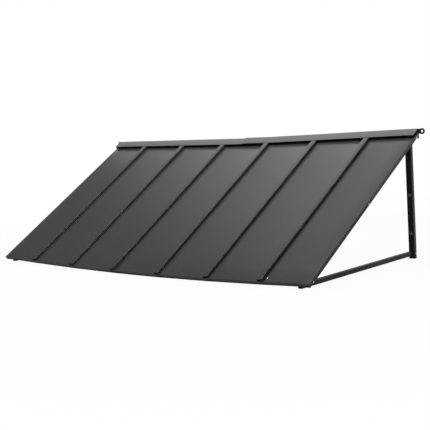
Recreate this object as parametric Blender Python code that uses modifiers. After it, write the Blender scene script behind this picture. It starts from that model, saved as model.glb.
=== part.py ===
"""Metal door canopy: seven folded steel pans with box seams on a tube frame with two side frames.

Metres, +Z up. X runs along the wall, +Y into the wall, and the wall plane is Y = 0.
The origin is on the back face of the wall bar, half way along the roof and half way up the bar.
Roof pieces are laid out on the roof plane with three numbers: x, the distance s up the slope from
the eave corner, and the height n square to the pans' top face.
"""
import bisect
import math

import bmesh
import bpy
from mathutils import Vector

# Roof as a whole
ROOF_WIDTH = 2.032
ROOF_DEPTH = 0.909
SLOPE = math.radians(31.55)
CLEAR = 0.0003
THROUGH = 0.010

# Folded pans
SHEET = 0.0008
FOLD_RADIUS = 0.0016
FOLD_STEPS = 2
PANEL_COUNT = 7
PANEL_COVER = ROOF_WIDTH * 0.15
FIRST_SEAM = PANEL_COVER * 0.846
PAN_ROWS = 5
RIB_WIDTH = 0.029
RIB_HEIGHT = 0.014
RIB_SETBACK = 0.0105
GROOVE_DEPTH = 0.0045
GROOVE_FALL = 0.001
DRIP_HEIGHT = 0.0024
LIP_FLARE = 0.0008
LIP_HEIGHT = 0.0036
LIP_GAP = 0.0042
HOOK_WIDTH = 0.008
END_TAB = 0.004
HEM_DEPTH = 0.011
SKIRT_DEPTH = 0.016

# Ridge flashing
FLASHING_WIDTH = 0.0535
FLASHING_SETBACK = 0.010
FLASHING_FALL = 0.003
LAP_X = -0.016
LAP_LENGTH = 0.030
LAP_LIFT = 0.004
CLOSURE_SETBACK = 0.002
CLOSURE_DEPTH = 0.015

# Roof frame
TUBE_WIDTH = 0.0254
TUBE_HEIGHT = 0.018
TUBE_WALL = 0.0012
HEAD_RAIL = 0.0205
CORNER_RADIUS = 0.0015
BAR_HEIGHT = 0.0235
BAR_THICKNESS = 0.003
EAR_RADIUS = 0.014
EAR_REACH = 0.0165
EAR_HOLE_RADIUS = 0.0058
EAR_STEPS = 20

# Side frames
POST_WIDTH = 0.030
POST_DEPTH = 0.020
POST_WALL = 0.0015
POST_INSET = 0.0362
POST_FOOT = 0.0296
CAP_HEIGHT = 0.008
CAP_PLUG = 0.007
ARM_SIZE = 0.020
ARM_DROP = 0.0143
ARM_SETBACK = 0.016
END_PLATE = 0.002
TONGUE_WIDTH = 0.006
TONGUE_HEIGHT = 0.014
WALL_SCREW_COUNT = 2
WALL_SCREW_FIRST = 0.081
WALL_SCREW_LAST = 0.2625
SLEEVE_BORE = 0.0045
SLEEVE_RADIUS = 0.006
SLEEVE_FLANGE = 0.0095
SLEEVE_FLANGE_THICKNESS = 0.001

# Arm brackets
BRACKET_PLATE = 0.002
BRACKET_FOLD = 0.003
BRACKET_LENGTH = 0.022
BRACKET_SETBACK = 0.098
BRACKET_TAIL = 0.008
BRACKET_EDGE = 0.004

# Fasteners
SCREW_HEAD_RADIUS = 0.004
SCREW_HEAD_HEIGHT = 0.0026
SCREW_RADIUS = 0.00175
SCREW_LENGTH = 0.010
SCREW_HOLE_LENGTH = 0.012
BOLT_HEAD_RADIUS = 0.0055
BOLT_HEAD_HEIGHT = 0.004
BOLT_RADIUS = 0.003
NUT_RADIUS = 0.0058
NUT_HEIGHT = 0.005
BOLT_TAIL = 0.001
PAN_SCREW_SLOPE = 0.020
PAN_SCREW_OFFSET = 0.0137
PAN_SCREW_EDGE = 0.045
SKIRT_SCREW_COUNT = 3
SKIRT_SCREW_FIRST = 0.0275
SKIRT_SCREW_LAST = 0.011
SKIRT_SCREW_DROP = 0.0115

# The assembled roof hangs a little between the side frames
EAVE_SAG = 0.0195
RIDGE_SAG = 0.011

SMOOTH_ANGLE = math.radians(30)
SIN, COS, TAN = math.sin(SLOPE), math.cos(SLOPE), math.tan(SLOPE)
HALF = ROOF_WIDTH / 2
SEAMS = [FIRST_SEAM - HALF + k * PANEL_COVER for k in range(PANEL_COUNT - 1)]
POST_OUTER = HALF - POST_INSET
POST_X = POST_OUTER - POST_WIDTH / 2
SPAN = POST_OUTER - POST_WIDTH
ARM_X = SPAN + ARM_SIZE / 2
UNDER = SHEET + CLEAR
LOW = UNDER + TUBE_HEIGHT
FRAME_HALF = HALF - UNDER
RAFTER_INNER = FRAME_HALF - TUBE_WIDTH

# Heights above the eave corner, and the drop of the origin to the bar's middle
HEAD_TOP = (ROOF_DEPTH - HEAD_RAIL) * TAN - SHEET / COS - CLEAR
BAR_MID = HEAD_TOP + CLEAR + BAR_HEIGHT / 2
STATIONS = sorted([-SPAN, SPAN, LAP_X] + SEAMS)


def ridge_drop(x):
    """Two straight halves that meet at the lap: RIDGE_SAG at LAP_X, nothing at the posts."""
    reach = SPAN + LAP_X if x < LAP_X else SPAN - LAP_X
    return RIDGE_SAG * max(0.0, 1 - abs(x - LAP_X) / reach)


def eave_drop(x):
    """A shallow parabola, straight between stations: EAVE_SAG * (1 - (x / SPAN)^2) at each."""
    if abs(x) >= SPAN:
        return 0.0
    k = bisect.bisect_right(STATIONS, x) - 1
    left, right = STATIONS[k], STATIONS[k + 1]
    ends = [EAVE_SAG * (1 - (station / SPAN) ** 2) for station in (left, right)]
    return ends[0] + (ends[1] - ends[0]) * (x - left) / (right - left)


def droop(x, y):
    """How far the roof hangs at x, blended from the ridge at the wall to the eave."""
    share = -y / ROOF_DEPTH
    return ridge_drop(x) * (1 - share) + eave_drop(x) * share


EAVE_Z = ridge_drop(0.0) - BAR_MID
ARM_Z = EAVE_Z - ARM_DROP
POST_BOTTOM = EAVE_Z - POST_FOOT
POST_TOP = EAVE_Z + HEAD_TOP - HEAD_RAIL - CLEAR


def roof(x, s, n):
    """The point at x, s up the slope and n above the pans."""
    return Vector((x, s * COS - n * SIN - ROOF_DEPTH, EAVE_Z + s * SIN + n * COS))


def slope_at(y, n):
    """The distance up the slope of the point at depth y and height n."""
    return (ROOF_DEPTH + y + n * SIN) / COS


for old in list(bpy.data.objects):
    bpy.data.objects.remove(old, do_unlink=True)

PARTS = bpy.data.collections.new("door_canopy")
CUTTERS = bpy.data.collections.new("canopy_cutters")
bpy.context.scene.collection.children.link(PARTS)
bpy.context.scene.collection.children.link(CUTTERS)


def material(name, colour, roughness, metallic):
    result = bpy.data.materials.new(name)
    result.use_nodes = True
    shader = result.node_tree.nodes["Principled BSDF"]
    shader.inputs["Base Color"].default_value = (*colour, 1.0)
    shader.inputs["Roughness"].default_value = roughness
    shader.inputs["Metallic"].default_value = metallic
    return result


PAINTED_SHEET = material("painted_sheet", (0.085, 0.085, 0.090), 0.42, 0.35)
PAINTED_TUBE = material("painted_tube", (0.030, 0.030, 0.033), 0.45, 0.2)
ZINC = material("zinc_steel", (0.62, 0.62, 0.60), 0.35, 0.9)
BLACK_STEEL = material("black_steel", (0.015, 0.015, 0.016), 0.4, 0.3)
PLASTIC = material("black_plastic", (0.012, 0.012, 0.013), 0.55, 0.0)
FOAM = material("black_foam", (0.010, 0.010, 0.010), 0.9, 0.0)


def finish(name, mesh, slot):
    """A named object in the canopy's collection, smooth except across its folds."""
    if slot is not None:
        mesh.materials.append(slot)
    mesh.shade_smooth()
    mesh.set_sharp_from_angle(angle=SMOOTH_ANGLE)
    result = bpy.data.objects.new(name, mesh)
    (PARTS if slot is not None else CUTTERS).objects.link(result)
    if slot is None:
        result.hide_render = True
        result.display_type = "WIRE"
    return result


def to_mesh(name, bm):
    mesh = bpy.data.meshes.new(name)
    bm.normal_update()
    bm.to_mesh(mesh)
    bm.free()
    return mesh


def bar(name, size, centre, slot, axis=None, radius=0.0, tilt=0.0):
    """A box; its four edges along an axis can be rounded, and tilt turns it about X."""
    bm = bmesh.new()
    bmesh.ops.create_cube(bm, size=1.0)
    bmesh.ops.scale(bm, vec=size, verts=bm.verts)
    if axis is not None:
        long_edges = []
        for edge in bm.edges:
            along = (edge.verts[1].co - edge.verts[0].co).normalized()
            if abs(along[axis]) > 0.99:
                long_edges.append(edge)
        bmesh.ops.bevel(bm, geom=long_edges, offset=radius, segments=2, affect="EDGES", profile=0.5)
    result = finish(name, to_mesh(name, bm), slot)
    result.location = centre
    result.rotation_euler = (tilt, 0.0, 0.0)
    return result


def cylinder(name, radius, depth, centre, rotation, slot=None, segments=16):
    """A round bar along its own Z, or a prism when it has few segments."""
    bm = bmesh.new()
    bmesh.ops.create_cone(bm, cap_ends=True, segments=segments, radius1=radius, radius2=radius, depth=depth)
    result = finish(name, to_mesh(name, bm), slot)
    result.location = centre
    result.rotation_euler = rotation
    return result


def turned(name, profile, centre, rotation, slot, steps, closed=False):
    """A profile of (radius, height) points, top to bottom, turned about its own Z."""
    bm = bmesh.new()
    ring = [bm.verts.new((radius, 0.0, height)) for radius, height in profile]
    for start, end in zip(ring, ring[1:] + (ring[:1] if closed else [])):
        bm.edges.new((start, end))
    result = finish(name, to_mesh(name, bm), slot)
    screw = result.modifiers.new("turn", "SCREW")
    screw.steps = steps
    screw.render_steps = steps
    screw.use_merge_vertices = True
    screw.merge_threshold = 0.0001
    result.location = centre
    result.rotation_euler = rotation
    return result


def combine(target, tool, operation):
    modifier = target.modifiers.new(operation.lower(), "BOOLEAN")
    modifier.operation = operation
    modifier.solver = "EXACT"
    modifier.object = tool


def cut(target, *tools):
    for tool in tools:
        combine(target, tool, "DIFFERENCE")


def evaluated(target):
    """The object's mesh with its modifiers applied, in world space."""
    bpy.context.view_layer.update()
    graph = bpy.context.evaluated_depsgraph_get()
    bm = bmesh.new()
    bm.from_mesh(target.evaluated_get(graph).to_mesh())
    bm.transform(target.matrix_world)
    return bm


def settle(target, *rows):
    """Let a roof piece hang with the roof: split it at the stations, then lower each vertex."""
    bm = evaluated(target)
    low = min(vert.co.x for vert in bm.verts)
    high = max(vert.co.x for vert in bm.verts)
    planes = [((x, 0, 0), (1, 0, 0)) for x in STATIONS if low < x < high]
    planes += [((0, y, 0), (0, 1, 0)) for y in rows]
    for point, normal in planes:
        whole = list(bm.verts) + list(bm.edges) + list(bm.faces)
        bmesh.ops.bisect_plane(bm, geom=whole, dist=1e-6, plane_co=point, plane_no=normal)
    for vert in bm.verts:
        vert.co.z -= droop(vert.co.x, vert.co.y)
    bm.transform(target.matrix_world.inverted())
    mesh = to_mesh(target.name, bm)
    slot = target.data.materials[0]
    target.modifiers.clear()
    target.data = mesh
    mesh.materials.clear()
    mesh.materials.append(slot)
    mesh.shade_smooth()
    mesh.set_sharp_from_angle(angle=SMOOTH_ANGLE)


def rounded(points, radius, corners):
    """A polyline whose listed corners are arcs of the fold radius."""
    result = []
    for k, point in enumerate(points):
        if k not in corners:
            result.append(point)
            continue
        here = Vector(point)
        before = (Vector(points[k - 1]) - here).normalized()
        after = (Vector(points[k + 1]) - here).normalized()
        half = before.angle(after) / 2
        centre = here + (before + after).normalized() * radius / math.sin(half)
        start = here + before * radius / math.tan(half) - centre
        end = here + after * radius / math.tan(half) - centre
        for step in range(FOLD_STEPS + 1):
            share = step / FOLD_STEPS
            arm = start.lerp(end, share).normalized() * radius
            result.append(tuple(centre + arm))
    return result


def open_sheet(columns, rows, place):
    """An open grid of folded sheet placed point by point, and its vertices by column and row."""
    bm = bmesh.new()
    bmesh.ops.create_grid(bm, x_segments=columns - 1, y_segments=rows - 1, size=1.0)
    index = {}
    for vert in bm.verts:
        i = round((vert.co.x + 1) / 2 * (columns - 1))
        j = round((vert.co.y + 1) / 2 * (rows - 1))
        index[i, j] = vert
    for (i, j), vert in index.items():
        vert.co = place(i, j)
    return bm, index


def thicken(name, bm, slot, thickness):
    """Turn an open sheet into a solid that grows down from the faces that look up."""
    bmesh.ops.recalc_face_normals(bm, faces=bm.faces)
    bm.normal_update()
    if sum(face.normal.z * face.calc_area() for face in bm.faces) < 0:
        bmesh.ops.reverse_faces(bm, faces=bm.faces)
    result = finish(name, to_mesh(name, bm), slot)
    shell = result.modifiers.new("thickness", "SOLIDIFY")
    shell.thickness = thickness
    shell.offset = -1.0
    shell.use_even_offset = True
    return result


# Roof frame: two side rafters and a front rail of one flat tube, all square to the slope
def frame_tube(name, size, centre, axis):
    """A hollow tube in the roof plane, open at both ends."""
    solid = bar(name, size, centre, PAINTED_TUBE, axis, CORNER_RADIUS, SLOPE)
    inside = [length - 2 * TUBE_WALL for length in size]
    inside[axis] = size[axis] + 2 * THROUGH
    cut(solid, bar(name + "_bore", inside, centre, None, tilt=SLOPE))
    return solid


def mid_tube(x, s):
    return roof(x, s, -UNDER - TUBE_HEIGHT / 2)


front_centre = mid_tube(0.0, UNDER + TUBE_WIDTH / 2)
front_length = 2 * (RAFTER_INNER - CLEAR)
front_rail = frame_tube("front_rail", (front_length, TUBE_WIDTH, TUBE_HEIGHT), front_centre, 0)

rafter_end = slope_at(-HEAD_RAIL, 0.0)
rafters = {}
for side, sign in (("left", -1), ("right", 1)):
    x = sign * (FRAME_HALF - TUBE_WIDTH / 2)
    length = rafter_end - UNDER
    centre = mid_tube(x, UNDER + length / 2)
    rafters[side] = frame_tube("rafter_" + side, (TUBE_WIDTH, length, TUBE_HEIGHT), centre, 1)
    # The upper end is cut upright, flat against the head rail
    stop_size = (2 * TUBE_WIDTH, 2 * TUBE_WIDTH, 4 * TUBE_HEIGHT)
    stop_mid = (x, stop_size[1] / 2 - HEAD_RAIL - CLEAR, EAVE_Z + HEAD_TOP)
    cut(rafters[side], bar("rafter_stop_" + side, stop_size, stop_mid, None))

head_size = (2 * FRAME_HALF, HEAD_RAIL, HEAD_RAIL)
head_centre = (0.0, -HEAD_RAIL / 2, EAVE_Z + HEAD_TOP - HEAD_RAIL / 2)
head_rail = bar("head_rail", head_size, head_centre, PAINTED_TUBE, 0, CORNER_RADIUS)
bore_side = HEAD_RAIL - 2 * TUBE_WALL
bore_size = (head_size[0] + 2 * THROUGH, bore_side, bore_side)
cut(head_rail, bar("head_rail_bore", bore_size, head_centre, None))


# Wall bar: a flat strip on the head rail, with a round ear and a screw hole past each roof edge
def bar_outline():
    """The strip's outline in its own plane, an arc round each ear, with the two holes."""
    reach = HALF + EAR_REACH
    turn = math.pi - math.asin(min(1.0, BAR_HEIGHT / 2 / EAR_RADIUS))
    outer = []
    for sign in (1, -1):
        for k in range(EAR_STEPS + 1):
            angle = -turn + 2 * turn * k / EAR_STEPS
            x = reach + EAR_RADIUS * math.cos(angle)
            outer.append((sign * x, sign * EAR_RADIUS * math.sin(angle)))
    rings = [outer]
    for sign in (1, -1):
        circle = []
        for k in range(EAR_STEPS):
            angle = 2 * math.pi * k / EAR_STEPS
            offset = EAR_HOLE_RADIUS * math.cos(angle)
            circle.append((sign * reach + offset, EAR_HOLE_RADIUS * math.sin(angle)))
        rings.append(circle)
    return rings


curve = bpy.data.curves.new("wall_bar_outline", "CURVE")
curve.dimensions = "2D"
curve.fill_mode = "BOTH"
curve.extrude = BAR_THICKNESS / 2
for ring in bar_outline():
    spline = curve.splines.new("POLY")
    spline.points.add(len(ring) - 1)
    spline.use_cyclic_u = True
    for point, (x, z) in zip(spline.points, ring):
        point.co = (x, z, 0.0, 1.0)
drawing = bpy.data.objects.new("wall_bar_drawing", curve)
PARTS.objects.link(drawing)
drawing.location = (0.0, -BAR_THICKNESS / 2, EAVE_Z + BAR_MID)
drawing.rotation_euler = (math.pi / 2, 0.0, 0.0)
bpy.context.view_layer.update()
graph = bpy.context.evaluated_depsgraph_get()
strip = bmesh.new()
strip.from_mesh(bpy.data.meshes.new_from_object(drawing.evaluated_get(graph)))
bmesh.ops.remove_doubles(strip, verts=strip.verts, dist=1e-6)
wall_bar = finish("wall_bar", to_mesh("wall_bar", strip), PAINTED_TUBE)
wall_bar.matrix_world = drawing.matrix_world.copy()
bpy.data.objects.remove(drawing, do_unlink=True)


# Pans: each has a male leg on its left, a box rib on its right that covers the next leg, an eave
# hem that runs on below its rib to the next pan's hem, and a short tab over the rib's open foot
def leg_of(number):
    """Where the pan's male leg stands, inside the groove of the rib before it."""
    return SEAMS[number - 2] + RIB_WIDTH / 2 - GROOVE_DEPTH - UNDER


def pan_profile(number):
    """The pan's top face across the slope as (x, n)."""
    points = []
    corners = []
    if number == 1:
        points += [(-HALF, -SKIRT_DEPTH), (-HALF, 0.0)]
        corners += [1]
    else:
        leg = leg_of(number)
        top = RIB_HEIGHT - UNDER
        points += [(leg - HOOK_WIDTH, top), (leg, top), (leg, 0.0)]
        corners += [1, 2]
    if number == PANEL_COUNT:
        corners.append(len(points))
        points += [(HALF, 0.0), (HALF, -SKIRT_DEPTH)]
    else:
        seam = SEAMS[number - 1]
        left, right = seam - RIB_WIDTH / 2, seam + RIB_WIDTH / 2
        corners += [len(points), len(points) + 1, len(points) + 2]
        waist = right - GROOVE_DEPTH
        drip = RIB_HEIGHT - DRIP_HEIGHT
        lip = LIP_GAP + LIP_HEIGHT
        points += [(left, 0.0), (left, RIB_HEIGHT), (right, RIB_HEIGHT), (right, drip)]
        points += [(waist, drip - GROOVE_FALL), (waist, lip + GROOVE_FALL)]
        points += [(right + LIP_FLARE, lip), (right + LIP_FLARE, LIP_GAP)]
    return rounded(points, FOLD_RADIUS, corners)


def pan_ends(n):
    """Where the sheet starts and stops along the slope, for the height n of its profile point."""
    start = FOLD_RADIUS + max(-FOLD_RADIUS, min(0.0, n))
    wall = -BAR_THICKNESS - CLEAR - SHEET * SIN - RIB_SETBACK * max(0.0, n) / RIB_HEIGHT
    return start, slope_at(wall, n)


FLASHING_TOP = RIB_HEIGHT + UNDER
FLASHING_UPPER = slope_at(-FLASHING_SETBACK, FLASHING_TOP)
FLASHING_LOWER = FLASHING_UPPER - FLASHING_WIDTH


def fold_down(bm, index, profile, level, drop, reach=None):
    """Fold the front edge of the flat at this level down by the drop, and run it on to reach."""
    run = [i for i, (_, n) in enumerate(profile) if abs(n - level) < 1e-9]
    if not run:
        return
    pairs = list(zip(run, run[1:]))
    edges = [bm.edges.get((index[i, 0], index[k, 0])) for i, k in pairs]
    bend = math.pi / 4
    path = [(FOLD_RADIUS * (1 - math.sin(bend)), level - FOLD_RADIUS * (1 - math.cos(bend)))]
    path += [(0.0, level - FOLD_RADIUS), (0.0, level - drop)]
    side = []
    for s, n in path:
        made = bmesh.ops.extrude_edge_only(bm, edges=edges)["geom"]
        corners = [item for item in made if isinstance(item, bmesh.types.BMVert)]
        for corner in corners:
            corner.co = roof(corner.co.x, s, n)
        side.append(max(corners, key=lambda corner: corner.co.x))
        edges = []
        for item in made:
            if isinstance(item, bmesh.types.BMEdge) and len(item.link_faces) == 1:
                if abs(item.verts[0].co.z - item.verts[1].co.z) < 1e-7:
                    edges.append(item)
    if reach is not None:
        edges = [bm.edges.get(pair) for pair in zip(side, side[1:])]
        for item in bmesh.ops.extrude_edge_only(bm, edges=edges)["geom"]:
            if isinstance(item, bmesh.types.BMVert):
                item.co.x = reach


def make_pan(number):
    profile = pan_profile(number)

    def place(i, j):
        x, n = profile[i]
        start, stop = pan_ends(n)
        if j > PAN_ROWS:
            return roof(x, stop, n)
        return roof(x, start + (FLASHING_LOWER - start) * j / PAN_ROWS, n)

    bm, index = open_sheet(len(profile), PAN_ROWS + 2, place)
    last = number == PANEL_COUNT
    reach = None if last else leg_of(number + 1) + FOLD_RADIUS - CLEAR
    fold_down(bm, index, profile, 0.0, HEM_DEPTH, reach)
    if not last:
        fold_down(bm, index, profile, RIB_HEIGHT, END_TAB)
    return thicken(f"panel_{number}", bm, PAINTED_SHEET, SHEET)


panels = [make_pan(number) for number in range(1, PANEL_COUNT + 1)]


# Ridge flashing: two lapped lengths that lie on the ribs, with a narrow fall back to the wall bar
def make_flashing(side, start, stop, lift):
    """A folded strip from start to stop; lift gives its rise off the ribs at x."""
    stations = [start] + [x for x in STATIONS if start < x < stop] + [stop]
    crest = roof(0.0, FLASHING_UPPER, FLASHING_TOP)
    tail = (-BAR_THICKNESS - CLEAR - SHEET * SIN - crest.y, -FLASHING_FALL)

    def place(i, j):
        x = stations[i]
        n = FLASHING_TOP + lift(x)
        if j == 2:
            return roof(x, FLASHING_UPPER, n) + Vector((0.0, tail[0] + lift(x) * SIN, tail[1]))
        return roof(x, (FLASHING_LOWER, FLASHING_UPPER)[j], n)

    bm, _ = open_sheet(len(stations), 3, place)
    return thicken("flashing_" + side, bm, PAINTED_SHEET, SHEET)


first_rib = min(x for x in SEAMS if x > LAP_X) - RIB_WIDTH / 2


def lap_rise(x):
    return LAP_LIFT * max(0.0, (first_rib - x) / (first_rib - LAP_X))


flashings = [
    make_flashing("left", -HALF, LAP_X + LAP_LENGTH, lambda x: 0.0),
    make_flashing("right", LAP_X, HALF, lap_rise),
]

# Foam closures: one on each pan under the flashing's lower edge, from rib to rib
closures = []
for number in range(1, PANEL_COUNT + 1):
    start = FOLD_RADIUS - HALF
    stop = HALF - FOLD_RADIUS
    if number > 1:
        start = SEAMS[number - 2] + RIB_WIDTH / 2 + LIP_FLARE + CLEAR
    if number < PANEL_COUNT:
        stop = SEAMS[number - 1] - RIB_WIDTH / 2 - FOLD_RADIUS - CLEAR
    size = (stop - start, CLOSURE_DEPTH, RIB_HEIGHT - CLEAR)
    s = FLASHING_LOWER + CLOSURE_SETBACK + CLOSURE_DEPTH / 2
    centre = roof((start + stop) / 2, s, (RIB_HEIGHT + CLEAR) / 2)
    closures.append(bar(f"closure_{number}", size, centre, FOAM, tilt=SLOPE))


# Fasteners
def pan_head(name, seat, rotation, slot):
    """A pan head screw whose head sits on the seat point, along its own Z."""
    profile = [
        (0.0, SCREW_HEAD_HEIGHT),
        (SCREW_HEAD_RADIUS * 0.55, SCREW_HEAD_HEIGHT * 0.94),
        (SCREW_HEAD_RADIUS * 0.88, SCREW_HEAD_HEIGHT * 0.66),
        (SCREW_HEAD_RADIUS, SCREW_HEAD_HEIGHT * 0.25),
        (SCREW_HEAD_RADIUS, 0.0),
        (SCREW_RADIUS, 0.0),
        (SCREW_RADIUS, -SCREW_LENGTH),
        (0.0, -SCREW_LENGTH - SCREW_RADIUS),
    ]
    return turned(name, profile, seat, rotation, slot, 12)


def through_bolt(side, name, x, y, z, grip, slot):
    """A round head bolt along X from an outer face at x, through the grip, with a hex nut."""
    sign = -1 if side == "left" else 1
    length = grip + 2 * CLEAR + NUT_HEIGHT + BOLT_TAIL
    profile = [
        (0.0, BOLT_HEAD_HEIGHT),
        (BOLT_HEAD_RADIUS * 0.7, BOLT_HEAD_HEIGHT * 0.9),
        (BOLT_HEAD_RADIUS, BOLT_HEAD_HEIGHT * 0.4),
        (BOLT_HEAD_RADIUS, 0.0),
        (BOLT_RADIUS, 0.0),
        (BOLT_RADIUS, -length),
        (0.0, -length),
    ]
    turn = (0.0, sign * math.pi / 2, 0.0)
    head = Vector((sign * (x + CLEAR), y, z))
    turned(f"{name}_bolt_{side}", profile, head, turn, slot, 16)
    nut_x = sign * (x - grip - CLEAR - NUT_HEIGHT / 2)
    nut = cylinder(f"{name}_nut_{side}", NUT_RADIUS, NUT_HEIGHT, (nut_x, y, z), turn, slot, 6)
    radius = BOLT_RADIUS + CLEAR
    hole_x = sign * (x - grip / 2)
    reach = grip + 2 * (NUT_HEIGHT + THROUGH)
    hole = cylinder(f"{name}_bolt_hole_{side}", radius, reach, (hole_x, y, z), turn)
    cut(nut, hole)
    return hole


def screw_hole(name, seat, rotation):
    return cylinder(name, SCREW_RADIUS + CLEAR, SCREW_HOLE_LENGTH, seat, rotation, segments=12)


pan_screws = []
for number in range(1, PANEL_COUNT + 1):
    if number == 1:
        x = PAN_SCREW_EDGE - HALF
    else:
        x = SEAMS[number - 2] + RIB_WIDTH / 2 + PAN_SCREW_OFFSET
    slot = ZINC if number == PANEL_COUNT else PAINTED_SHEET
    seat = roof(x, PAN_SCREW_SLOPE, CLEAR)
    turn = (SLOPE, 0.0, 0.0)
    pan_screws.append(pan_head(f"pan_screw_{number}", seat, turn, slot))
    hole = screw_hole(f"pan_screw_hole_{number}", seat, turn)
    cut(panels[number - 1], hole)
    cut(front_rail, hole)

skirt_pitch = (rafter_end - SKIRT_SCREW_LAST - SKIRT_SCREW_FIRST) / (SKIRT_SCREW_COUNT - 1)
for side, sign, pan in (("left", -1, panels[0]), ("right", 1, panels[-1])):
    for k in range(SKIRT_SCREW_COUNT):
        s = SKIRT_SCREW_FIRST + k * skirt_pitch
        seat = roof(sign * (HALF + CLEAR), s, -SKIRT_SCREW_DROP)
        turn = (0.0, sign * math.pi / 2, 0.0)
        pan_head(f"skirt_screw_{side}_{k + 1}", seat, turn, ZINC)
        hole = screw_hole(f"skirt_screw_hole_{side}_{k + 1}", seat, turn)
        cut(pan, hole)
        cut(rafters[side], hole)

# Side frames: an upright post on the wall and a level arm out to the eave, joined by a tongue
arm_front = ARM_SETBACK - ROOF_DEPTH
arm_rear = -POST_DEPTH - CLEAR
arm_length = arm_rear - arm_front
first_sleeve = EAVE_Z + WALL_SCREW_FIRST
sleeve_pitch = (POST_TOP - WALL_SCREW_LAST - first_sleeve) / max(1, WALL_SCREW_COUNT - 1)
for side, sign in (("left", -1), ("right", 1)):
    x = sign * POST_X
    post_mid = (x, -POST_DEPTH / 2, (POST_TOP + POST_BOTTOM) / 2)
    post_size = (POST_WIDTH, POST_DEPTH, POST_TOP - POST_BOTTOM)
    post = bar("post_" + side, post_size, post_mid, PAINTED_TUBE, 2, CORNER_RADIUS)
    bore_width, bore_depth = POST_WIDTH - 2 * POST_WALL, POST_DEPTH - 2 * POST_WALL
    bore_size = (bore_width, bore_depth, post_size[2] + 2 * THROUGH)
    cut(post, bar("post_bore_" + side, bore_size, post_mid, None))

    # End cap: a head of the post's section with a plug inside it
    cap_mid = (x, -POST_DEPTH / 2, POST_BOTTOM - CLEAR - CAP_HEIGHT / 2)
    cap_size = (POST_WIDTH, POST_DEPTH, CAP_HEIGHT)
    cap = bar("post_cap_" + side, cap_size, cap_mid, PLASTIC, 2, CORNER_RADIUS)
    plug_height = CAP_PLUG + CAP_HEIGHT / 2
    plug_size = (bore_width - 2 * CLEAR, bore_depth - 2 * CLEAR, plug_height)
    plug_mid = (x, -POST_DEPTH / 2, cap_mid[2] + plug_height / 2)
    combine(cap, bar("cap_plug_" + side, plug_size, plug_mid, None), "UNION")

    # Arm: its rear end is plated and carries the tongue, its front end is cut under the roof
    arm_x = sign * ARM_X
    arm_mid = (arm_x, (arm_front + arm_rear) / 2, ARM_Z)
    arm = bar("arm_" + side, (ARM_SIZE, arm_length, ARM_SIZE), arm_mid, PAINTED_TUBE, 1, CORNER_RADIUS)
    bore_side = ARM_SIZE - 2 * POST_WALL
    bore_mid = (arm_x, arm_mid[1] - END_PLATE, ARM_Z)
    cut(arm, bar("arm_bore_" + side, (bore_side, arm_length, bore_side), bore_mid, None))
    tongue_rear = -POST_WALL - END_PLATE
    tongue_front = arm_rear - END_PLATE / 2
    tongue_mid = (arm_x, (tongue_rear + tongue_front) / 2, ARM_Z)
    tongue_size = (TONGUE_WIDTH, tongue_rear - tongue_front, TONGUE_HEIGHT)
    combine(arm, bar("arm_tongue_" + side, tongue_size, tongue_mid, None), "UNION")
    wedge_size = (2 * ARM_SIZE, 4 * ARM_SIZE, 2 * ARM_SIZE)
    wedge_mid = roof(arm_x, ARM_SETBACK, wedge_size[2] / 2 - LOW - CLEAR)
    cut(arm, bar("arm_mitre_" + side, wedge_size, wedge_mid, None, tilt=SLOPE))

    # The tongue's slot in the post's front wall
    slot_size = (TONGUE_WIDTH + 2 * CLEAR, POST_WALL * 3, TONGUE_HEIGHT + 2 * CLEAR)
    slot_mid = (arm_x, -POST_DEPTH + POST_WALL / 2, ARM_Z)
    cut(post, bar("tongue_slot_" + side, slot_size, slot_mid, None))
    hole = through_bolt(side, "corner", POST_OUTER, -POST_DEPTH / 2, ARM_Z, POST_WIDTH, ZINC)
    cut(post, hole)
    cut(arm, hole)

    # Wall screw sleeves: flanged on the front wall, stopped on the rear wall
    for k in range(WALL_SCREW_COUNT):
        z = first_sleeve + k * sleeve_pitch
        turn = (math.pi / 2, 0.0, 0.0)
        inside = -POST_DEPTH + POST_WALL + CLEAR
        profile = [
            (SLEEVE_BORE, SLEEVE_FLANGE_THICKNESS),
            (SLEEVE_FLANGE, SLEEVE_FLANGE_THICKNESS),
            (SLEEVE_FLANGE, 0.0),
            (SLEEVE_RADIUS, 0.0),
            (SLEEVE_RADIUS, inside),
            (SLEEVE_BORE, inside),
        ]
        seat = (x, -POST_DEPTH - CLEAR, z)
        turned(f"sleeve_{side}_{k + 1}", profile, seat, turn, ZINC, 20, closed=True)
        front = cylinder(f"sleeve_hole_{side}_{k + 1}", SLEEVE_RADIUS + CLEAR, POST_DEPTH, seat, turn)
        rear = (x, 0.0, z)
        back = cylinder(f"screw_hole_{side}_{k + 1}", SLEEVE_BORE + CLEAR, POST_DEPTH, rear, turn)
        cut(post, front, back)

    # Arm bracket: bolted to the arm's outer side, with a flange turned out under the rafter
    leg_x = ARM_X + ARM_SIZE / 2 + CLEAR
    plate_x = leg_x + BRACKET_PLATE
    flange_x = FRAME_HALF - BRACKET_EDGE
    bracket_y = BRACKET_SETBACK - ROOF_DEPTH

    def bracket_point(column, row):
        y = bracket_y + (row - 0.5) * BRACKET_LENGTH
        top = roof(0.0, slope_at(y, -LOW - CLEAR), -LOW - CLEAR).z
        line = [(leg_x, ARM_Z - BRACKET_TAIL), (leg_x, top), (flange_x, top)]
        px, pz = rounded(line, BRACKET_FOLD, [1])[column]
        return Vector((sign * px, y, pz))

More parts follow.
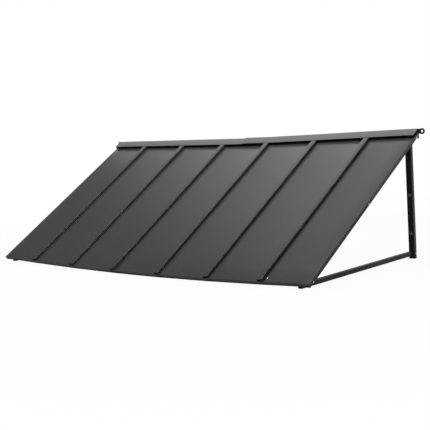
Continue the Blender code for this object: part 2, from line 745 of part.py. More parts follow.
    bm, _ = open_sheet(FOLD_STEPS + 3, 2, bracket_point)
    bracket = thicken("bracket_" + side, bm, PAINTED_TUBE, BRACKET_PLATE)
    grip = ARM_SIZE + CLEAR + BRACKET_PLATE
    hole = through_bolt(side, "bracket", plate_x, bracket_y, ARM_Z, grip, BLACK_STEEL)
    cut(bracket, hole)
    cut(arm, hole)
    flange_mid = (RAFTER_INNER + flange_x) / 2
    below = -LOW - 2 * CLEAR - BRACKET_PLATE
    seat = roof(sign * flange_mid, slope_at(bracket_y, below), below)
    turn = (SLOPE + math.pi, 0.0, 0.0)
    pan_head("bracket_screw_" + side, seat, turn, BLACK_STEEL)
    hole = screw_hole("bracket_screw_hole_" + side, seat, turn)
    cut(bracket, hole)
    cut(rafters[side], hole)

# Everything on the roof hangs with it, and the side frames stay square
for pan in panels:
    settle(pan, -HEAD_RAIL)
for piece in [front_rail, head_rail, wall_bar] + flashings + closures + pan_screws:
    settle(piece)
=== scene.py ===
"""Metal door canopy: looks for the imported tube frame, folded pans, ridge flashing and fasteners.

Metres, +Z up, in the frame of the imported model: the wall plane is Y = 0 and the eave faces -Y.
"""
import math

import bmesh
import bpy
import numpy as np
from mathutils import Matrix, Vector


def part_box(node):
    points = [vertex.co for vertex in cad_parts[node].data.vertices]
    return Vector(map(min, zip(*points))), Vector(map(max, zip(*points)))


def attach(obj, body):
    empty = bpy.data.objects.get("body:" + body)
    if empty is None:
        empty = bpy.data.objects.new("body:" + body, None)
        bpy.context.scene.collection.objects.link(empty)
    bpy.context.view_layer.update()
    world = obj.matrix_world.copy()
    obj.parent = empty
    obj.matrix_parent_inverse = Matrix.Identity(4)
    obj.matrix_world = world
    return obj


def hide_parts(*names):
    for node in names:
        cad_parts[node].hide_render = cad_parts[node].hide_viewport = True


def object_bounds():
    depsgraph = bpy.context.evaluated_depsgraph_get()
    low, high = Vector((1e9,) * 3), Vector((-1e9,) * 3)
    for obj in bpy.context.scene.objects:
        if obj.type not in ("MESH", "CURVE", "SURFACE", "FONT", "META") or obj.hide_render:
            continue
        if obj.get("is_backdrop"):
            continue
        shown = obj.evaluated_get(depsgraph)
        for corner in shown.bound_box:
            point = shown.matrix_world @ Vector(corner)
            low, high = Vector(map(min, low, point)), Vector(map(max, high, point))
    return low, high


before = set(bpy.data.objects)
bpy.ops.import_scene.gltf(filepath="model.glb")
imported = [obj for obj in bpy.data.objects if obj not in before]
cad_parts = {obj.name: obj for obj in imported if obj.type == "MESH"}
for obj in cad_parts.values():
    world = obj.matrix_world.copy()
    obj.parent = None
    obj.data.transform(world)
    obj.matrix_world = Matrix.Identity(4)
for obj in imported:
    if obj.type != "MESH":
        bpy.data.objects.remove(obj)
cad_low, cad_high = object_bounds()
scene = bpy.context.scene
scene.view_settings.view_transform = "Standard"

# Camera: where the photographer stood, to the right of the canopy and a little above its ridge.
# The angles and the lens come from the edges of the roof, the seams and the right side frame.
FILM, FOCAL_PIXELS, FRAME_PIXELS = 36.0, 901.555, 430.0
yaw, pitch, roll = math.radians(42.258), math.radians(-5.965), math.radians(-3.562)
ahead = Vector((-math.sin(yaw) * math.cos(pitch), math.cos(yaw) * math.cos(pitch), math.sin(pitch)))
level = Vector((math.cos(yaw), math.sin(yaw), 0.0))
above = level.cross(ahead)
across = math.cos(roll) * level + math.sin(roll) * above
upright = -math.sin(roll) * level + math.cos(roll) * above
lens = bpy.data.cameras.new("camera")
lens.sensor_width = FILM
lens.lens = FILM * FOCAL_PIXELS / FRAME_PIXELS
lens.clip_end = 200.0
camera = bpy.data.objects.new("camera", lens)
camera.matrix_world = Matrix((across, upright, -ahead)).transposed().to_4x4()
camera.location = (3.10676, -3.73326, 0.11758)
scene.collection.objects.link(camera)
scene.camera = camera


# Studio: a white backdrop for the camera, which the gloss sees too, but only low down. Higher up the
# gloss sees a dim ceiling with one soft glow behind the left end, which shades the sheets. The floor
# of white paper keeps a faint shadow, and soft lamps hang above the roof and stand to the right.
def add_node(tree, kind, **values):
    """A node of a kind, with its properties by name and its sockets by name or index in 'set'."""
    node = tree.nodes.new(kind)
    sockets = values.pop("set", {})
    for key, value in values.items():
        setattr(node, key, value)
    for key, value in sockets.items():
        node.inputs[key].default_value = value
    return node


def reckon(tree, operation, second=None):
    """A Math node, with its second value where that one is fixed."""
    return add_node(tree, "ShaderNodeMath", operation=operation, set={} if second is None else {1: second})


def ease(tree, low, high, start, stop):
    """A smoothstep that goes from start to stop while its value goes from low to high."""
    limits = {"From Min": low, "From Max": high, "To Min": start, "To Max": stop}
    return add_node(tree, "ShaderNodeMapRange", interpolation_type="SMOOTHSTEP", set=limits)


def wire(tree, *pairs):
    """Links, each from an output to an input."""
    for source, target in pairs:
        tree.links.new(source, target)


world = bpy.data.worlds.new("studio")
world.use_nodes = True
scene.world = world
tree = world.node_tree
tree.nodes.clear()
ceiling = add_node(tree, "ShaderNodeBackground", set={"Color": (1.0, 0.99, 1.03, 1)})
white = add_node(tree, "ShaderNodeBackground", set={"Color": (1, 1, 1, 1), "Strength": 1.0})
path = add_node(tree, "ShaderNodeLightPath")
either = add_node(tree, "ShaderNodeMixShader")
out = add_node(tree, "ShaderNodeOutputWorld")
wire(tree, (ceiling.outputs[0], either.inputs[1]), (white.outputs[0], either.inputs[2]))
wire(tree, (either.outputs[0], out.inputs["Surface"]))

# The ceiling's strength rises to the glow as the direction comes within 20 degrees of its middle
way = add_node(tree, "ShaderNodeTexCoord")
glow_middle = Vector((-0.55, 0.45, 0.70)).normalized()
toward = add_node(tree, "ShaderNodeVectorMath", operation="DOT_PRODUCT", set={1: glow_middle})
glow = ease(tree, 0.942, 1.0, 0.18, 1.30)
wire(tree, (way.outputs["Generated"], toward.inputs[0]), (toward.outputs["Value"], glow.inputs["Value"]))
wire(tree, (glow.outputs[0], ceiling.inputs["Strength"]))

# White for the camera, and for mirrored and refracted rays that rise by less than 20 degrees
height = add_node(tree, "ShaderNodeSeparateXYZ")
low_down = ease(tree, 0.10, 0.35, 1.0, 0.0)
mirrored = reckon(tree, "MAXIMUM")
backdrop = reckon(tree, "MULTIPLY")
seen = reckon(tree, "MAXIMUM")
wire(tree, (way.outputs["Generated"], height.inputs[0]), (height.outputs["Z"], low_down.inputs["Value"]))
wire(tree, (path.outputs["Is Glossy Ray"], mirrored.inputs[0]))
wire(tree, (path.outputs["Is Transmission Ray"], mirrored.inputs[1]))
wire(tree, (mirrored.outputs[0], backdrop.inputs[0]), (low_down.outputs[0], backdrop.inputs[1]))
wire(tree, (backdrop.outputs[0], seen.inputs[0]), (path.outputs["Is Camera Ray"], seen.inputs[1]))
wire(tree, (seen.outputs[0], either.inputs[0]))

FLOOR_REACH, FLOOR_GAP = 60.0, 0.0005
floor_z = cad_low[2] - FLOOR_GAP
floor_mesh = bpy.data.meshes.new("floor")
corners = ((-1, -1), (1, -1), (1, 1), (-1, 1))
places = [(x * FLOOR_REACH, y * FLOOR_REACH, floor_z) for x, y in corners]
floor_mesh.from_pydata(places, [], [(0, 1, 2, 3)])
floor = bpy.data.objects.new("floor", floor_mesh)
scene.collection.objects.link(floor)

# The camera sees little of the paper's shading near the canopy, and none from 3.5 m out
paper = bpy.data.materials.new("white_paper")
paper.use_nodes = True
tree = paper.node_tree
tree.nodes.clear()
shaded = add_node(tree, "ShaderNodeBsdfDiffuse", set={"Color": (0.55, 0.55, 0.55, 1)})
plain = add_node(tree, "ShaderNodeEmission", set={"Color": (1, 1, 1, 1), "Strength": 1.0})
spot = add_node(tree, "ShaderNodeTexCoord")
far = add_node(tree, "ShaderNodeVectorMath", operation="LENGTH")
fade = ease(tree, 0.8, 3.5, 0.96, 1.0)
path = add_node(tree, "ShaderNodeLightPath")
share = reckon(tree, "MULTIPLY")
either = add_node(tree, "ShaderNodeMixShader")
out = add_node(tree, "ShaderNodeOutputMaterial")
wire(tree, (spot.outputs["Object"], far.inputs[0]), (far.outputs["Value"], fade.inputs["Value"]))
wire(tree, (fade.outputs[0], share.inputs[0]), (path.outputs["Is Camera Ray"], share.inputs[1]))
wire(tree, (share.outputs[0], either.inputs[0]))
wire(tree, (shaded.outputs[0], either.inputs[1]), (plain.outputs[0], either.inputs[2]))
wire(tree, (either.outputs[0], out.inputs["Surface"]))
floor_mesh.materials.append(paper)
floor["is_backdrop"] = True

# Lamps: where each stands, what it is aimed at, its two sides and its watts
for name, place, aim, size, power in (
    ("ridge_lamp", (-0.5, 0.45, 0.62), (-0.5, -0.25, -0.1), (3.2, 0.4), 3.5),
    ("top_lamp", (-0.3, -1.15, 3.1), (-0.1, -0.5, -0.3), (1.4, 1.4), 78.0),
    ("fold_lamp", (1.3, 0.0, 2.6), (0.2, -0.5, -0.3), (0.7, 0.7), 22.0),
    ("right_lamp", (3.4, 2.1, -0.05), (0.9, -0.3, -0.4), (2.0, 0.9), 3.0),
):
    light = bpy.data.lights.new(name, "AREA")
    light.shape = "RECTANGLE"
    light.size, light.size_y = size
    light.energy = power
    lamp = bpy.data.objects.new(name, light)
    lamp.visible_camera = False
    lamp.location = place
    lamp.rotation_euler = (Vector(aim) - Vector(place)).to_track_quat("-Z", "Y").to_euler()
    scene.collection.objects.link(lamp)


# Side frames: on each side a post of 30 by 20 mm steel tube on the wall, with a plastic plug in its
# foot, and an arm of 20 mm square tube whose tongue is bolted through the post. A folded bracket ties
# the arm to the rafter. All the steel is black powder coated.
def socket(group, name, way, kind, value=None):
    """A named input or output of a node group, with its usual value."""
    made = group.interface.new_socket(name=name, in_out=way, socket_type=kind)
    if value is not None:
        made.default_value = value


def build_paint_film():
    """Coating as a node group: mottled colour, orange peel, streaks of dust and uneven gloss."""
    group = bpy.data.node_groups.new("paint_film", "ShaderNodeTree")
    socket(group, "Place", "INPUT", "NodeSocketVector")
    socket(group, "Colour", "INPUT", "NodeSocketColor", (0.05, 0.05, 0.05, 1))
    socket(group, "Dust Colour", "INPUT", "NodeSocketColor", (0.30, 0.30, 0.32, 1))
    for name, value in (("Dust", 0.1), ("Mottle", 0.1), ("Peel Scale", 500.0), ("Peel", 0.2),
                        ("Wave", 0.2), ("Roughness", 0.4)):
        socket(group, name, "INPUT", "NodeSocketFloat", value)
    socket(group, "Colour", "OUTPUT", "NodeSocketColor")
    socket(group, "Roughness", "OUTPUT", "NodeSocketFloat")
    socket(group, "Height", "OUTPUT", "NodeSocketFloat")
    into = add_node(group, "NodeGroupInput").outputs
    end = add_node(group, "NodeGroupOutput")

    # Slow patches of light and dark: the colour times one plus the centred noise times the mottle
    patch = add_node(group, "ShaderNodeTexNoise", set={"Scale": 5.0, "Detail": 4.0, "Roughness": 0.6})
    centred = reckon(group, "SUBTRACT", 0.5)
    swing = reckon(group, "MULTIPLY")
    gain = reckon(group, "ADD", 1.0)
    tinted = add_node(group, "ShaderNodeVectorMath", operation="SCALE")
    wire(group, (into["Place"], patch.inputs["Vector"]), (patch.outputs["Fac"], centred.inputs[0]))
    wire(group, (centred.outputs[0], swing.inputs[0]), (into["Mottle"], swing.inputs[1]))
    wire(group, (swing.outputs[0], gain.inputs[0]), (into["Colour"], tinted.inputs[0]))
    wire(group, (gain.outputs[0], tinted.inputs["Scale"]))

    # Dust in streaks that run down the surface's second axis, thin and broken up by fine specks
    drawn = add_node(group, "ShaderNodeMapping", vector_type="POINT", set={"Scale": (42.0, 2.2, 9.0)})
    streak = add_node(group, "ShaderNodeTexNoise", set={"Scale": 1.0, "Detail": 5.0, "Roughness": 0.62})
    gate = add_node(group, "ShaderNodeMapRange", set={"From Min": 0.48, "From Max": 0.80})
    speck = add_node(group, "ShaderNodeTexNoise", set={"Scale": 260.0, "Detail": 2.0})
    broken = reckon(group, "MULTIPLY")
    amount = reckon(group, "MULTIPLY")
    dusted = add_node(group, "ShaderNodeMix", data_type="RGBA")
    wire(group, (into["Place"], drawn.inputs["Vector"]), (drawn.outputs[0], streak.inputs["Vector"]))
    wire(group, (streak.outputs["Fac"], gate.inputs["Value"]), (into["Place"], speck.inputs["Vector"]))
    wire(group, (gate.outputs[0], broken.inputs[0]), (speck.outputs["Fac"], broken.inputs[1]))
    wire(group, (broken.outputs[0], amount.inputs[0]), (into["Dust"], amount.inputs[1]))
    wire(group, (amount.outputs[0], dusted.inputs["Factor"]), (tinted.outputs[0], dusted.inputs["A"]))
    wire(group, (into["Dust Colour"], dusted.inputs["B"]), (dusted.outputs["Result"], end.inputs["Colour"]))

    # Roughness: its own value plus a sixth of the centred patches plus half of the dust
    uneven = reckon(group, "MULTIPLY_ADD", 0.16)
    duller = reckon(group, "MULTIPLY_ADD", 0.5)
    wire(group, (centred.outputs[0], uneven.inputs[0]), (into["Roughness"], uneven.inputs[2]))
    wire(group, (amount.outputs[0], duller.inputs[0]), (uneven.outputs[0], duller.inputs[2]))
    wire(group, (duller.outputs[0], end.inputs["Roughness"]))

    # Height: orange peel of the coating plus a slow wave of the sheet itself
    peel = add_node(group, "ShaderNodeTexNoise", set={"Detail": 1.5})
    wave = add_node(group, "ShaderNodeTexNoise", set={"Scale": 7.0, "Detail": 0.0})
    fine = reckon(group, "MULTIPLY")
    slow = reckon(group, "MULTIPLY")
    total = reckon(group, "ADD")
    wire(group, (into["Place"], peel.inputs["Vector"]), (into["Peel Scale"], peel.inputs["Scale"]))
    wire(group, (into["Place"], wave.inputs["Vector"]), (peel.outputs["Fac"], fine.inputs[0]))
    wire(group, (into["Peel"], fine.inputs[1]), (wave.outputs["Fac"], slow.inputs[0]))
    wire(group, (into["Wave"], slow.inputs[1]), (fine.outputs[0], total.inputs[0]))
    wire(group, (slow.outputs[0], total.inputs[1]), (total.outputs[0], end.inputs["Height"]))
    return group


paint_film = build_paint_film()


def coated(name, colour, roughness, gloss, metallic=0.0, turn=(0.0, 0.0, 0.0), **film):
    """A coated surface: one Principled shader fed by the paint film in turned object coordinates."""
    made = bpy.data.materials.new(name)
    made.use_nodes = True
    tree = made.node_tree
    shader = tree.nodes["Principled BSDF"]
    shader.inputs["Metallic"].default_value = metallic
    shader.inputs["Specular IOR Level"].default_value = gloss
    spot = add_node(tree, "ShaderNodeTexCoord")
    turned = add_node(tree, "ShaderNodeMapping", vector_type="POINT", set={"Rotation": turn})
    given = {"Colour": (*colour, 1.0), "Roughness": roughness}
    given.update({key.replace("_", " ").title(): value for key, value in film.items()})
    coat = add_node(tree, "ShaderNodeGroup", node_tree=paint_film, set=given)
    bump = add_node(tree, "ShaderNodeBump", set={"Strength": 1.0, "Distance": 0.001})
    wire(tree, (spot.outputs["Object"], turned.inputs["Vector"]), (turned.outputs[0], coat.inputs["Place"]))
    wire(tree, (coat.outputs["Colour"], shader.inputs["Base Color"]))
    wire(tree, (coat.outputs["Roughness"], shader.inputs["Roughness"]))
    wire(tree, (coat.outputs["Height"], bump.inputs["Height"]), (bump.outputs[0], shader.inputs["Normal"]))
    return made


def dress(names, finish):
    """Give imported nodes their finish, each in its own material slot."""
    for name in names:
        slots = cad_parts[name].data.materials
        slots.clear()
        slots.append(finish)


powder_coat = coated("black_powder_coat", (0.0390, 0.0390, 0.0415), 0.42, 0.50, dust=0.10,
                     mottle=0.25, peel_scale=520.0, peel=0.10, wave=0.0)
foot_plastic = coated("foot_plastic", (0.011, 0.011, 0.012), 0.58, 0.35, dust=0.25,
                      mottle=0.2, peel_scale=1400.0, peel=0.06, wave=0.0)
for side in ("left", "right"):
    dress([f"post_{side}", f"arm_{side}", f"bracket_{side}"], powder_coat)
    dress([f"post_cap_{side}"], foot_plastic)

# Roof frame: front rail, two rafters and a head rail of steel tube, welded up under the pans and
# coated like the side frames, and the flat wall bar at its head, whose round ears take the wall
# screws past the roof's edges.
dress(["front_rail", "head_rail", "rafter_left", "rafter_right", "wall_bar"], powder_coat)

# Pans: seven lengths of 0.8 mm coated steel, each folded into a flat, a male leg, a box rib over
# the next pan's leg, a hem over the eave, and a skirt on the two at the ends. Satin charcoal.
SLOPE = math.radians(31.55)
COS, SIN = math.cos(SLOPE), math.sin(SLOPE)
ROOF_HALF, ROOF_DEPTH = 1.016, 0.909
SHEET, CLEAR = 0.0008, 0.0003
UNDER = SHEET + CLEAR
COVER, FIRST_COVER = 0.3048, 0.846
SEAMS = COVER * (FIRST_COVER + np.arange(6)) - ROOF_HALF
RIB_WIDTH, RIB_HEIGHT, RIB_SETBACK = 0.029, 0.014, 0.0105
GROOVE, GROOVE_TOP, GROOVE_FALL = 0.0045, 0.0116, 0.001
LIP_TOP, LIP_FOOT, LIP_FLARE = 0.0078, 0.0042, 0.0008
HOOK, SKIRT, HEM, TAB = 0.008, 0.016, 0.011, 0.004
FOLD, TIGHT = 0.0016, 0.0009
CREASE = 0.6 * TIGHT
TINY = 1e-9

# The roof hangs between the posts' inner faces, and its height comes from the wall bar's middle
POST_INSET, POST_WIDTH = 0.0362, 0.030
POST_FACE = ROOF_HALF - POST_INSET - POST_WIDTH
LAP_X = -0.016
STATIONS = np.array(sorted([-POST_FACE, POST_FACE, LAP_X, *SEAMS]))
HEAD_RAIL, BAR_HEIGHT, BAR_THICKNESS = 0.0205, 0.0235, 0.003
HEAD_TOP = (ROOF_DEPTH - HEAD_RAIL) * math.tan(SLOPE) - SHEET / COS - CLEAR
RIDGE_SAG, EAVE_SAG = 0.011, 0.0195
EAVE_Z = RIDGE_SAG * (1 + LAP_X / (POST_FACE - LAP_X)) - (HEAD_TOP + CLEAR + BAR_HEIGHT / 2)


def droop(x, y):
    """How far the roof hangs at x, y: a V along the ridge, lowest at the lap, and along the eave a
    parabola cut into chords between the stations, mixed by the distance from the wall."""
    ridge = np.interp(x, [-POST_FACE, LAP_X, POST_FACE], [0.0, RIDGE_SAG, 0.0])
    eave = np.interp(x, STATIONS, EAVE_SAG * (1 - (STATIONS / POST_FACE) ** 2))
    share = -y / ROOF_DEPTH
    return ridge * (1 - share) + eave * share


def on_roof(x, s, n):
    """Points at x, s up the slope from the eave and n above the pans' top face: s and n turned by
    the slope into y and z, and z lowered by the roof's hang."""
    x, s, n = np.broadcast_arrays(x, s, n)
    y = s * COS - n * SIN - ROOF_DEPTH
    return np.stack([x, y, EAVE_Z + s * SIN + n * COS - droop(x, y)], -1)


def rolled(points, corners, steps=6):
    """A line of points whose corners, given with a radius each, become arcs tangent to both sides:
    the middle lies radius over the sine of half the angle inwards, and points spread along the
    chord are pushed out to the radius."""
    line = []
    points = np.asarray(points, float)
    for k, here in enumerate(points):
        if k not in corners:
            line.append(here[None])
            continue
        radius = corners[k]
        back, on = points[k - 1] - here, points[k + 1] - here
        back, on = back / np.hypot(*back), on / np.hypot(*on)
        half = math.acos(np.clip(back @ on, -1, 1)) / 2
        middle = here + (back + on) / np.hypot(*(back + on)) * radius / math.sin(half)
        start = here + back * radius / math.tan(half) - middle
        stop = here + on * radius / math.tan(half) - middle
        share = np.linspace(0, 1, steps + 1)[:, None]
        arc = start + (stop - start) * share
        line.append(middle + radius * arc / np.linalg.norm(arc, axis=1)[:, None])
    return np.concatenate(line)


def with_stations(line):
    """The line with a point added wherever it crosses a station of the hang."""
    near = 1e-5
    out = [line[0]]
    for a, b in zip(line, line[1:]):
        low, high = sorted((a[0], b[0]))
        between = STATIONS[(STATIONS > low + near) & (STATIONS < high - near)]
        if b[0] < a[0]:
            between = between[::-1]
        out += [a + (b - a) * (x - a[0]) / (b[0] - a[0]) for x in between]
        out.append(b)
    return np.array(out)


def quads(ids):
    """Faces between the rows and columns of a grid of vertex numbers."""
    a, b, c, d = ids[:-1, :-1], ids[1:, :-1], ids[1:, 1:], ids[:-1, 1:]
    return np.stack([a, b, c, d], -1).reshape(-1, 4)


def folded(name, points, faces, finish, stands_for):
    """Sheet metal: an open skin thickened away from its outer face, smooth but for its cut edges."""
    mesh = bpy.data.meshes.new(name)
    mesh.from_pydata(points.tolist(), [], faces.tolist())
    skin = bpy.data.objects.new(name, mesh)
    scene.collection.objects.link(skin)
    shell = skin.modifiers.new("thickness", "SOLIDIFY")
    shell.thickness = SHEET
    shell.offset = -1.0
    shell.use_even_offset = True
    thickened = skin.evaluated_get(bpy.context.evaluated_depsgraph_get())
    solid = bpy.data.meshes.new_from_object(thickened)
    skin.modifiers.clear()
    skin.data = solid
    bpy.data.meshes.remove(mesh)
    solid.name = name
    solid.shade_smooth()
    solid.set_sharp_from_angle(angle=math.radians(30))
    solid.materials.clear()
    solid.materials.append(finish)
    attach(skin, "root")
    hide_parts(stands_for)


roof_paint = coated("satin_charcoal_sheet", (0.0595, 0.0600, 0.0645), 0.21, 0.31, turn=(-SLOPE, 0.0, 0.0),
                    dust=0.04, mottle=0.08, peel_scale=380.0, peel=0.015, wave=0.16)

# The flashing lies on the ribs, and the pans' rows are even up to its lower edge
FLASHING_SETBACK, FLASHING_WIDTH = 0.010, 0.0535
TOP_N = RIB_HEIGHT + UNDER
FLASHING_UPPER = (ROOF_DEPTH - FLASHING_SETBACK + TOP_N * SIN) / COS
FLASHING_LOWER = FLASHING_UPPER - FLASHING_WIDTH


def leg_of(number):
    """Where the pan's male leg stands, inside the groove of the rib before it."""
    return SEAMS[number - 2] + RIB_WIDTH / 2 - GROOVE - UNDER


def pan_line(number):
    """The pan's top face across the slope as (x, n): skirt or hook and leg, flat, then the rib up,
    over and down to its groove and lip, or the other skirt, rolled at its folds."""
    if number == 1:
        line, corners = [(-ROOF_HALF, -SKIRT), (-ROOF_HALF, 0.0)], {1: FOLD}
    else:
        leg, top = leg_of(number), RIB_HEIGHT - UNDER
        line, corners = [(leg - HOOK, top), (leg, top), (leg, 0.0)], {1: FOLD, 2: FOLD}
    k = len(line)
    if number == 7:
        corners[k] = FOLD
        line += [(ROOF_HALF, 0.0), (ROOF_HALF, -SKIRT)]
    else:
        left, right = SEAMS[number - 1] - RIB_WIDTH / 2, SEAMS[number - 1] + RIB_WIDTH / 2
        waist, lip = right - GROOVE, right + LIP_FLARE
        corners.update(zip(range(k, k + 7), (FOLD, FOLD, FOLD, TIGHT, CREASE, CREASE, TIGHT)))
        line += [(left, 0.0), (left, RIB_HEIGHT), (right, RIB_HEIGHT), (right, GROOVE_TOP)]
        line += [(waist, GROOVE_TOP - GROOVE_FALL), (waist, LIP_TOP + GROOVE_FALL)]
        line += [(lip, LIP_TOP), (lip, LIP_FOOT)]
    return with_stations(rolled(line, corners))


def turned_down(ids, line, points, level, drop, beyond=()):
    """Rows that carry the front edge of the flat at this level round a quarter fold and down the
    eave by the drop. From half way round they run on to the places in beyond, under the rib."""
    run = np.flatnonzero(np.abs(line[:, 1] - level) < TINY)
    bend = np.linspace(0, math.pi / 2, 7)[1:]
    s = np.append(FOLD * (1 - np.sin(bend)), 0.0)
    n = np.append(level - FOLD * (1 - np.cos(bend)), level - drop)
    faces = []
    edge = ids[run, 0][None]
    for x, rows in ((line[run, 0], slice(0, None)), (np.asarray(beyond), slice(2, None))):
        if len(x) == 0:
            continue
        fresh = on_roof(x, s[rows, None], n[rows, None])
        start = sum(len(block) for block in points)
        made = start + np.arange(fresh.shape[0] * len(x)).reshape(-1, len(x))
        points.append(fresh.reshape(-1, 3))
        block = np.concatenate([edge, made]) if rows.start == 0 else np.concatenate([edge, made], 1)
        faces.append(quads(block[::-1].T))
        edge = made[2:, -1:]
    return np.concatenate(faces)


def make_pan(number):
    """One pan: its line carried up the slope, from the eave's fold in even rows to the flashing's
    lower edge and on to the wall bar. The higher a point stands on the rib, the sooner it stops."""
    line = pan_line(number)
    n = line[:, 1]
    start = FOLD + np.clip(n, -FOLD, 0.0)
    wall = -BAR_THICKNESS - CLEAR - SHEET * SIN - RIB_SETBACK * np.maximum(0.0, n) / RIB_HEIGHT
    stop = (ROOF_DEPTH + wall + n * SIN) / COS
    rows = np.linspace(0, 1, 12)[None]
    s = np.concatenate([start[:, None] + (FLASHING_LOWER - start[:, None]) * rows, stop[:, None]], 1)
    grid = on_roof(line[:, :1], s, n[:, None])
    points = [grid.reshape(-1, 3)]
    ids = np.arange(s.size).reshape(s.shape)
    beyond = () if number == 7 else (SEAMS[number - 1], leg_of(number + 1) + FOLD - CLEAR)
    faces = [quads(ids), turned_down(ids, line, points, 0.0, HEM, beyond)]
    if number < 7:
        faces.append(turned_down(ids, line, points, RIB_HEIGHT, TAB))
    name = f"panel_{number}"
    folded("folded_" + name, np.concatenate(points), np.concatenate(faces), roof_paint, name)


for number in range(1, 8):
    make_pan(number)

# Ridge flashing: two lengths of the same sheet that lie on the ribs, rolled at the ridge and run
# back to the wall bar. The right length laps over the left one in the middle.
CREST_ROLL, FLASHING_FALL = 0.0022, 0.003
LAP_LENGTH, LAP_LIFT = 0.030, 0.004
FIRST_RIB = SEAMS[SEAMS > LAP_X].min() - RIB_WIDTH / 2


def make_flashing(side, start, stop, lift):
    """A section carried along x: its lower edge, an arc at the ridge, and the fall to the wall bar,
    lowered by the hang. The lift raises it square to the slope, by its full height at the lap and
    by nothing at the first rib beyond, and its back edge stays at the wall bar."""
    x = np.array([start, *STATIONS[(STATIONS > start) & (STATIONS < stop)], stop])
    rise = lift * np.clip((FIRST_RIB - x) / (FIRST_RIB - LAP_X), 0, 1)
    crest_y = FLASHING_UPPER * COS - TOP_N * SIN - ROOF_DEPTH
    crest_z = EAVE_Z + FLASHING_UPPER * SIN + TOP_N * COS
    low_y = crest_y - FLASHING_WIDTH * COS
    low_z = crest_z - FLASHING_WIDTH * SIN
    tail = -BAR_THICKNESS - CLEAR - SHEET * SIN
    corners = [(low_y, low_z), (crest_y, crest_z), (tail, crest_z - FLASHING_FALL)]
    section = rolled(corners, {1: CREST_ROLL}, steps=8)
    hang = droop(x[:, None], section[None, :, 0])
    y = section[None, :, 0] - rise[:, None] * SIN * (section[None, :, 0] < tail - TINY)
    z = section[None, :, 1] + rise[:, None] * COS - hang
    points = np.stack([np.broadcast_to(x[:, None], z.shape), y, z], -1).reshape(-1, 3)
    ids = np.arange(len(points)).reshape(z.shape)
    folded("folded_flashing_" + side, points, quads(ids), roof_paint, "flashing_" + side)


make_flashing("left", -ROOF_HALF, LAP_X + LAP_LENGTH, 0.0)
make_flashing("right", LAP_X, ROOF_HALF, LAP_LIFT)

# Closures: strips that fill the channel between two ribs behind the flashing's lower edge. Matt
# near-black: painted shade, standing in for the deep shade in the gap under the flashing.
shade_black_closure = coated("closure_painted_shade", (0.006, 0.006, 0.006), 0.85, 0.12, dust=0.05,
              mottle=0.3, peel_scale=1800.0, peel=0.3, wave=0.0)
dress([f"closure_{number}" for number in range(1, 8)], shade_black_closure)

# Fasteners: zinc plated screws in the skirts and the last pan, painted ones in the other pans, bolts
# at the side frames' corners, and flanged sleeves in the posts for the wall screws. The brackets'
# bolts and screws are black. Each finish is paired with the name of the record's slot that it belongs to.
zinc = coated("zinc_plate", (0.80, 0.80, 0.79), 0.30, 0.5, metallic=1.0, dust=0.1,
              mottle=0.5, peel_scale=900.0, peel=0.05, wave=0.0)
dull_zinc = coated("dull_zinc", (0.34, 0.34, 0.345), 0.40, 0.4, metallic=0.8, dust=0.2,
                   mottle=0.5, peel_scale=900.0, peel=0.05, wave=0.0)
black_zinc = coated("black_zinc", (0.018, 0.018, 0.019), 0.38, 0.5, metallic=0.2, dust=0.2,
                    mottle=0.4, peel_scale=900.0, peel=0.05, wave=0.0)
BRIGHT, DULL = (zinc, "zinc_steel"), (dull_zinc, "zinc_steel")
BLACK, PAINTED = (black_zinc, "black_steel"), (roof_paint, "painted_sheet")

# Rings over a head's top, and points round each ring
HEAD_ROWS, AROUND = 11, 48


def spun(node, radii, heights, seat, axis, look, dent=None):
    """A turned part: each radius and height makes a ring about the axis. A dent is subtracted from
    the heights of the rows that form the head's top."""
    finish, metal = look
    turn = np.arange(AROUND) * 2 * math.pi / AROUND
    r, h = np.asarray(radii)[:, None], np.asarray(heights)[:, None]
    x, y = r * np.cos(turn), r * np.sin(turn)
    z = np.broadcast_to(h, x.shape).copy()
    if dent is not None:
        z = z - dent(x, y) * (np.arange(len(radii)) < HEAD_ROWS)[:, None]
    along = Vector(axis).normalized()
    side = along.orthogonal().normalized()
    basis = np.array([side, along.cross(side), along])
    points = np.stack([x, y, z], -1).reshape(-1, 3) @ basis + np.array(seat)
    ids = np.arange(len(points)).reshape(x.shape)
    ids = np.concatenate([ids, ids[:, :1]], 1)
    name = "dressed_" + node
    mesh = bpy.data.meshes.new(name)
    mesh.from_pydata(points.tolist(), [], quads(ids)[:, ::-1].tolist())
    bm = bmesh.new()
    bm.from_mesh(mesh)
    bmesh.ops.remove_doubles(bm, verts=bm.verts, dist=1e-6)
    bmesh.ops.recalc_face_normals(bm, faces=bm.faces)
    bm.to_mesh(mesh)
    bm.free()
    mesh.shade_smooth()
    mesh.set_sharp_from_angle(angle=math.radians(35))
    mesh.materials.append(finish)
    piece = bpy.data.objects.new(name, mesh)
    scene.collection.objects.link(piece)
    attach(piece, "root")
    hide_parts(node)


def cross_recess(x, y):
    """Depth of a cross of two slots: full within both slots' sides, eased out at their edges and
    ends, and a third less deep at the ends than in the middle."""
    arm, span, depth = 0.00050, 0.0023, 0.0013
    side_ease, end_ease, taper = 0.0002, 0.0004, 0.35
    near = np.minimum(np.abs(x), np.abs(y))
    far = np.maximum(np.abs(x), np.abs(y))
    inside = np.clip((arm - near) / side_ease + 0.5, 0, 1) * np.clip((span - far) / end_ease, 0, 1)
    return depth * inside * (1 - taper * far / span)


def hex_recess(x, y):
    """Depth of a hexagonal socket: full where the distance along the nearest flat's normal is less
    than the flat's own, eased out over its steep side."""
    flat, depth, side_ease = 0.0020, 0.0020, 0.00025
    angle = np.arctan2(y, x)
    reach = np.hypot(x, y) * np.cos((angle + math.pi / 6) % (math.pi / 3) - math.pi / 6)
    return depth * np.clip((flat - reach) / side_ease + 0.5, 0, 1)


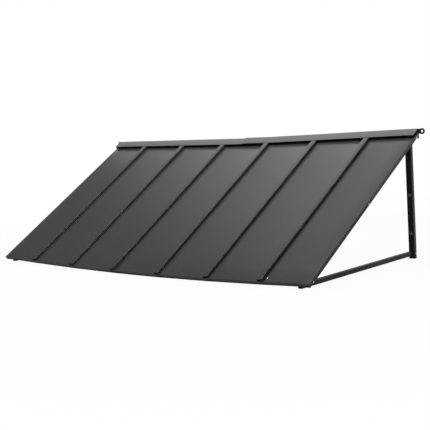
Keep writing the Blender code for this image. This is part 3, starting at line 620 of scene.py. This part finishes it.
def screw(node, seat, axis, look):
    """A pan head screw: a head that falls by a parabola to its rim, a plain shank and a point."""
    rim, shank, dome, length, tip = 0.0040, 0.00175, 0.0026, 0.0100, 0.0117
    top = np.linspace(0.0, 1.0, HEAD_ROWS)
    radii = [*(0.0036 * top), 0.0039, rim, rim, 0.0036, shank, shank, 0.0]
    heights = [*(dome - 0.0007 * top ** 2), 0.0016, 0.0012, 0.0003, 0.0, 0.0, -length, -tip]
    spun(node, radii, heights, seat, axis, look, cross_recess)


BOLT_HEAD = 0.0040


def bolt(node, seat, axis, length, look):
    """A button head bolt: a head that falls by a parabola to its rim, and a shank with an eased end."""
    rim, shank, end_ease = 0.0055, 0.0030, 0.0004
    top = np.linspace(0.0, 1.0, HEAD_ROWS)
    radii = [*(0.0046 * top), 0.0052, rim, rim, 0.0051, shank, shank, 0.0027, 0.0]
    heights = [*(BOLT_HEAD - 0.0016 * top ** 2), 0.0017, 0.0011, 0.0003, 0.0, 0.0]
    heights += [-length + end_ease, -length, -length]
    spun(node, radii, heights, seat, axis, look, hex_recess)


def sleeve(node, look):
    """A flanged sleeve along Y: rings from its bore over the flange, in to the tube, back to its far
    end and up the bore again."""
    low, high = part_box(node)
    seat = ((low.x + high.x) / 2, low.y, (low.z + high.z) / 2)
    bore, tube, rim, end = 0.0045, 0.0060, 0.0095, low.y - high.y
    radii = [bore, 0.0049, 0.0090, rim, rim, tube, tube, bore, bore]
    heights = [-0.0003, 0.0, 0.0, -0.0004, -0.0010, -0.0010, end, end, -0.0003]
    spun(node, radii, heights, seat, (0, -1, 0), look)


bpy.context.view_layer.update()
for side, sign in (("left", -1), ("right", 1)):
    for k in (1, 2, 3):
        low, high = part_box(f"skirt_screw_{side}_{k}")
        seat = (sign * (ROOF_HALF + CLEAR), (low.y + high.y) / 2, (low.z + high.z) / 2)
        screw(f"skirt_screw_{side}_{k}", seat, (sign, 0, 0), BRIGHT)
    for k in (1, 2):
        sleeve(f"sleeve_{side}_{k}", DULL)
    for node, look in ((f"corner_bolt_{side}", BRIGHT), (f"bracket_bolt_{side}", BLACK)):
        low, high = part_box(node)
        outer = high.x if sign > 0 else low.x
        seat = (outer - sign * BOLT_HEAD, (low.y + high.y) / 2, (low.z + high.z) / 2)
        bolt(node, seat, (sign, 0, 0), high.x - low.x - BOLT_HEAD, look)
    dress([f"corner_nut_{side}"], zinc)
    dress([f"bracket_nut_{side}", f"bracket_screw_{side}"], black_zinc)

FROM_EDGE, FROM_RIB, UP_SLOPE = 0.045, 0.0137, 0.020
for number in range(1, 8):
    x = -ROOF_HALF + FROM_EDGE if number == 1 else SEAMS[number - 2] + RIB_WIDTH / 2 + FROM_RIB
    seat = on_roof(np.array(x), np.array(UP_SLOPE), np.array(CLEAR))
    screw(f"pan_screw_{number}", seat, (0, -SIN, COS), BRIGHT if number == 7 else PAINTED)

low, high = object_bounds()
